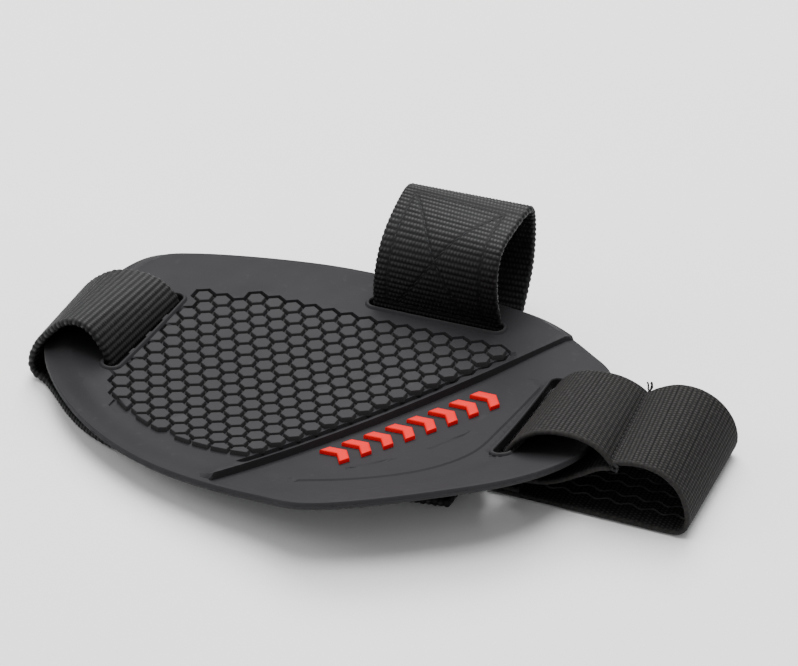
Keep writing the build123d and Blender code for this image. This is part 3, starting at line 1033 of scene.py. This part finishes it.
def finish_blended(obj, body_a, body_b, joint, reach, slot, *nodes):
    """Bake a piece's placement into its mesh and hide the given CAD parts; the piece is not bent across
    the joint and not attached to a body.
    """
    x, y, z = JOINT[joint]
    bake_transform(obj)
    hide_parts(*nodes)


def flat_stitches(points, height, name, body, *nodes):
    """Stitches round a closed flat outline, just inside a patch's edge."""
    ring = np.array(points, float)
    parts = []
    for a, b in zip(ring, np.roll(ring, -1, axis=0)):
        span = np.linalg.norm(b - a)
        count = max(1, int(round(span / 2.5)))
        ahead = np.array([*(b - a) / span, 0.0])
        for i in range(count):
            centre = np.array([*mix(a, b, (i + 0.5) / count), height])
            parts.append(capsule(centre, ahead, np.array([0.0, 0.0, 1.0]), span / count * 0.84, 0.26))
    sewn(name, parts, body, *nodes)


LOOP_PATCH = [(-12.0, -33.0), (18.0, -28.6), (18.0, -3.4), (-10.0, -7.4)]
HOOK_PATCH = [(23.0, -28.0), (49.5, -23.2), (50.5, 1.0), (23.0, -3.0)]


def pile_patch(name, outline, low, high, material, body, slot, node):
    """A patch of hook or loop tape: its pile faces down, in small tufts."""
    corners = np.array(outline, float)
    sides = zip(corners, np.roll(corners, -1, axis=0))
    edge = np.vstack([np.linspace(a, b, 24)[:-1] for a, b in sides])
    sketch = Sketch()
    sketch.line(edge, close=True)
    sketch.grid(0.8, 0.45)
    flat, faces = triangulate(sketch.points, sketch.edges, lambda m: inside(m, edge))
    deep = np.minimum(segment_distance(flat, closed(edge)), 1.0)
    tuft = np.array([noise.noise(Vector((x * 1.7, y * 1.7, 3.0))) for x, y in flat])
    bottom = np.column_stack([flat, low + 0.12 + 0.10 * tuft * deep + 0.15 * (1 - deep)])
    top = np.column_stack([flat, np.full(len(flat), high) - 0.15 * (1 - deep)])
    rim = wall([np.column_stack([edge, np.full(len(edge), level)]) for level in (high - 0.15, low + 0.27)])
    patch = piece(name, *joined([(bottom, faces[:, ::-1].tolist()), (top, faces.tolist()), rim]), material)
    weld(patch)
    finish_piece(patch, body, slot, node)


def make_sole_strap():
    ring = Strap(SOLE_NEAR, SOLE_FAR, WEBBING_THICK, 0.272, 108, webbing_cloth, flip=True)
    finish_blended(ring.build("sole_webbing_ring", WEBBING), "pad", "sole_tail", "sole_strap_swing", 4.0,
                   "webbing", "sole_strap_ring", "sole_strap_tail")
    tip = Strap(TIP_NEAR, TIP_FAR, WEBBING_THICK, 0.272, 108, webbing_cloth, start=ring.length)
    finish_blended(tip.build("sole_webbing_tip", WEBBING), "sole_tail", "sole_tip", "sole_tip_fold", 3.0,
                   "webbing", "sole_strap_tip")
    flat_stitches([(-51.0, -12.0), (-41.0, -12.0), (-41.0, 12.0), (-51.0, 12.0)], -5.0,
                  "sole_ring_stitches", "pad", "sole_ring_stitching")
    top = SOLE_RUN_LEVEL + WEBBING_THICK / 2 + 0.25
    flat_stitches([(-10.5, -31.5), (16.7, -27.5), (16.7, -4.9), (-8.6, -8.6)], top,
                  "sole_loop_stitches", "sole_tail", "sole_loop_stitching")
    flat_stitches([(24.4, -26.3), (48.2, -22.0), (49.0, -0.7), (24.4, -4.3)], top,
                  "sole_hook_stitches", "sole_tip", "sole_hook_stitching")
    pile_patch("loop_tape_patch", LOOP_PATCH, GROUND, -7.1, LOOP_TAPE, "sole_tail", "loop_tape",
               "sole_loop_patch")
    pile_patch("hook_tape_patch", HOOK_PATCH, GROUND, -7.1, HOOK_TAPE, "sole_tip", "hook_tape",
               "sole_hook_patch")


# ---- heel strap
HEEL_NEAR_Y, HEEL_FAR_Y = -16.0, 20.0
RING_NEAR = [(85.8, 6.4), (82.8, 9.4), (78.6, 11.1), (73.5, 11.2), (68.6, 10.0), (64.4, 7.0),
             (61.4, 2.6), (60.6, -1.2), (63.2, -3.2), (68.4, -3.0), (73.0, -1.6), (78.4, 1.6),
             (82.6, 4.3), (85.4, 5.2)]
RING_FAR = [(82.0, 2.2), (79.4, 3.8), (75.4, 5.0), (70.8, 5.0), (66.6, 4.2), (63.2, 2.2),
            (61.0, -0.8), (60.6, -3.2), (63.4, -4.9), (68.4, -5.1), (72.6, -4.4), (76.4, -2.8),
            (79.4, -0.8), (81.6, 0.9)]
LOOP_RUN = [(x, -7.6) for x in (97.0, 90.0, 80.0, 70.0, 57.7)]
LOOP_NEAR = [(85.8, 6.4), (88.8, 7.4), (92.8, 7.8), (97.0, 6.8), (100.6, 4.0), (102.7, -0.2),
             (103.2, -4.6), (101.6, -7.15), *LOOP_RUN]
LOOP_FAR = [(82.2, 2.2), (85.0, 4.3), (89.4, 6.2), (94.4, 6.2), (98.8, 4.2), (102.0, 0.4),
            (103.2, -4.2), (101.8, -7.15), *LOOP_RUN]
HEM_LINE = [(57.8, -6.5), (61.0, -6.45), (64.7, -6.5)]
ELASTIC_THICK = 1.0


def wavy_line(strap, side, s0, s1):
    """A printed line that waves along the inner face of the strap."""
    along = np.arange(s0, s1, 0.45)
    left, right, top = [], [], []
    for s in along:
        sway = 0.55 * math.sin(2 * math.pi * s / 5.2) / strap.width
        for rail, offset, lift in ((left, -0.30, 0.12), (top, 0.0, 0.30), (right, 0.30, 0.12)):
            point, _ = strap.surface(s, side + sway + offset / strap.width, lift, outer=False)
            rail.append(point)
    points = np.vstack([left, top, right])
    n = len(along)
    faces = []
    for i in range(n - 1):
        faces += [[i, i + 1, n + i + 1, n + i], [n + i, n + i + 1, 2 * n + i + 1, 2 * n + i],
                  [2 * n + i, 2 * n + i + 1, i + 1, i]]
    faces += [[0, n, 2 * n], [n - 1, 3 * n - 1, 2 * n - 1]]
    return points, faces


def loose_thread(start, sway, length, radius, seed):
    """A curled end of thread."""
    draw = random.Random(seed)
    point, line = np.array(start, float), []
    ahead = np.array(sway, float)
    for _ in range(int(length / 0.35)):
        line.append(point.copy())
        ahead = unit(ahead + np.array([draw.uniform(-0.6, 0.6) for _ in range(3)]))
        point = point + ahead * 0.35
    line = spline(line, 3)
    rings = []
    for i, centre in enumerate(line):
        before, after = line[max(0, i - 1)], line[min(len(line) - 1, i + 1)]
        forward = unit(after - before)
        side = unit(np.cross(forward, (0.0, 0.3, 1.0)))
        up = np.cross(side, forward)
        rings.append([centre + radius * (side * math.cos(a) + up * math.sin(a))
                      for a in np.linspace(0, 2 * math.pi, 7)[:-1]])
    return tube(rings)


def make_heel_strap():
    ring = Strap(at_y(HEEL_NEAR_Y, RING_NEAR), at_y(HEEL_FAR_Y, RING_FAR), ELASTIC_THICK, 0.25, 144,
                 elastic_cloth, flip=True)
    finish_piece(ring.build("heel_elastic_ring", ELASTIC), "pad", "elastic", "heel_strap_ring")
    loop = Strap(at_y(HEEL_NEAR_Y, LOOP_NEAR), at_y(HEEL_FAR_Y, LOOP_FAR), ELASTIC_THICK, 0.27, 132,
                 elastic_cloth)
    finish_blended(loop.build("heel_elastic_loop", ELASTIC), "pad", "heel_loop", "heel_loop_swing", 2.5,
                   "elastic", "heel_strap_loop")
    seam = stitch_run(loop, [(0.7, 0.03), (0.7, 0.97)], -0.02, pitch=2.0, radius=0.2)
    seam += stitch_run(ring, [(0.8, 0.03), (0.8, 0.97)], -0.02, pitch=2.0, radius=0.2)
    seam += [loose_thread((82.3, 19.7, 2.4), (0.1, 0.2, 1.0), 3.6, 0.22, seed) for seed in (3, 5, 8)]
    seam += [loose_thread((85.8, -15.8, 5.4), (0.7, -0.3, -0.6), 4.5, 0.34, 11)]
    sewn("heel_seam_stitches", seam, "pad", "heel_seam_stitching")
    for index in range(4):
        pair = [wavy_line(loop, (index + 1) / 5 + shift / loop.width, 8.0, loop.length - 9.0)
                for shift in (-1.6, 1.6)]
        finish_piece(piece(f"heel_silicone_line_{index + 1}", *joined(pair), GRIP), "heel_loop",
                     "grip_print", f"heel_grip_line_{index + 1}")
    hem = Strap(at_y(HEEL_NEAR_Y, HEM_LINE), at_y(HEEL_FAR_Y, HEM_LINE), 0.9, 0.25, 144,
                elastic_cloth, flip=True)
    finish_piece(hem.build("heel_folded_hem", ELASTIC), "heel_loop", "elastic", "heel_end_hem")
    row = stitch_run(hem, [(4.9, 0.03), (4.9, 0.97)], 0.15)
    sewn("heel_hem_stitches", row, "heel_loop", "heel_hem_stitching")


make_pad()
make_studs()
make_marks()
make_keeper()
make_sole_strap()
make_heel_strap()


# ---- floor, light and camera
def make_floor():
    half = 2.5
    mesh = bpy.data.meshes.new("floor")
    z = cad_low.z
    mesh.from_pydata([(-half, -half, z), (half, -half, z), (half, half, z), (-half, half, z)], [],
                     [(0, 1, 2, 3)])
    mesh.materials.append(floor_material())
    new_object("floor", mesh)


def area_light(name, place, size, power, target=(0.0, 0.0, 0.01)):
    data = bpy.data.lights.new(name, "AREA")
    data.shape, data.size, data.energy = "DISK", size, power
    light = new_object(name, data)
    light.location = place
    light.rotation_euler = (Vector(target) - Vector(place)).to_track_quat("-Z", "Y").to_euler()


def make_lights():
    world = bpy.data.worlds.new("studio")
    world.use_nodes = True
    sky = world.node_tree.nodes["Background"].inputs
    sky["Color"].default_value, sky["Strength"].default_value = (1.0, 1.0, 1.0, 1), 0.6
    bpy.context.scene.world = world
    area_light("back_softbox", (-0.30, 0.70, 1.00), 0.9, 21.0)
    area_light("top_softbox", (0.05, 0.05, 1.25), 0.8, 16.0)
    area_light("left_softbox", (-0.9, -0.35, 0.7), 0.6, 3.0)


CAMERA_PLACE = Vector((0.21127, -0.46799, 0.34062))
CAMERA_TARGET = Vector((0.00088, 0.01431, 0.01518))
CAMERA_ROLL = math.radians(-0.23)
CAMERA_LENS = 120.4


def make_camera():
    data = bpy.data.cameras.new("camera")
    data.sensor_width, data.lens = 36.0, CAMERA_LENS
    camera = new_object("camera", data)
    look = (CAMERA_TARGET - CAMERA_PLACE).to_track_quat("-Z", "Y").to_matrix().to_4x4()
    camera.matrix_world = Matrix.Translation(CAMERA_PLACE) @ look @ Matrix.Rotation(CAMERA_ROLL, 4, "Z")
    bpy.context.scene.camera = camera


make_floor()
make_lights()
make_camera()
